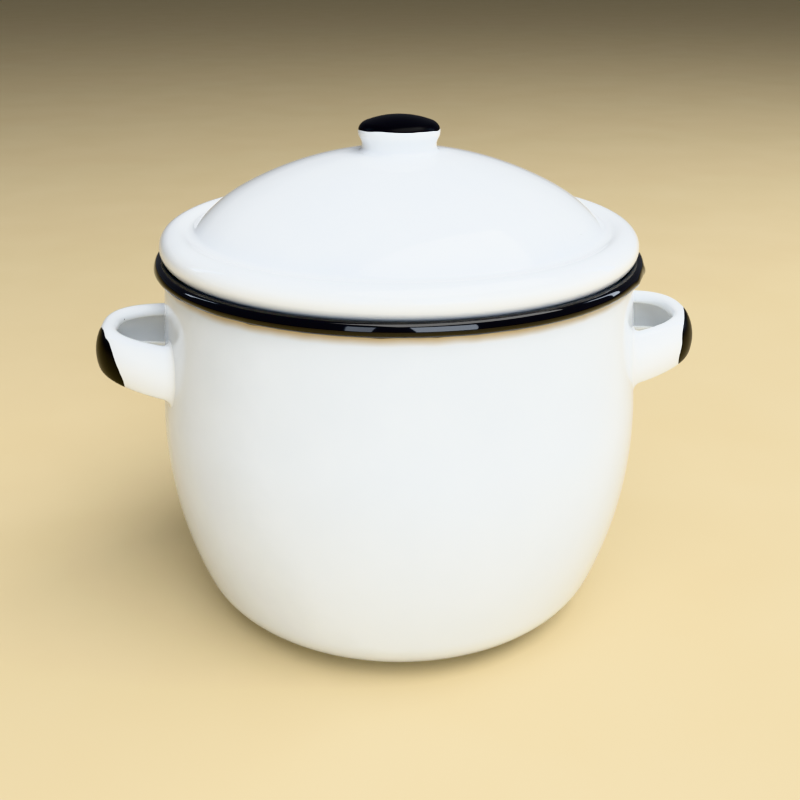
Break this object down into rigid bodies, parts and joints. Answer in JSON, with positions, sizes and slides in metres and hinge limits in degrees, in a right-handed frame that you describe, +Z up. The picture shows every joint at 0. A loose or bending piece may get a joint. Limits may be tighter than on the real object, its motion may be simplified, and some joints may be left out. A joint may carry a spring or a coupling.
{
  "type": "lidded enamel storage pot",
  "caption": "Round white enamelled steel storage pot with a black rolled rim, loop handles with black ends, and a domed lift-off lid with a black-capped knob.",
  "frame": {"origin": "on the plane that the foot stands on, under the middle of the bounding box, which is on the pot's axis", "axes": "+Z up along the pot's axis, the way the lid lifts off; +X towards the right handle as seen from the front; +Y towards the back"},
  "size_m": [0.1568, 0.1244, 0.1303],
  "materials": {
    "white_enamel": "glossy white vitreous enamel on drawn steel, black enamel on the rim, the handles' ends and the knob's cap"
  },
  "bodies": {
    "pot": {"pot_body": "white_enamel", "left_handle": "white_enamel", "right_handle": "white_enamel"},
    "lid": {"lid_shell": "white_enamel", "lid_collar": "white_enamel", "knob": "white_enamel"}
  },
  "joints": [
    {"name": "lid_lift", "type": "slide", "parent": "pot", "child": "lid", "axis": [0, 0, 1], "range_m": [0, 0.04]}
  ]
}
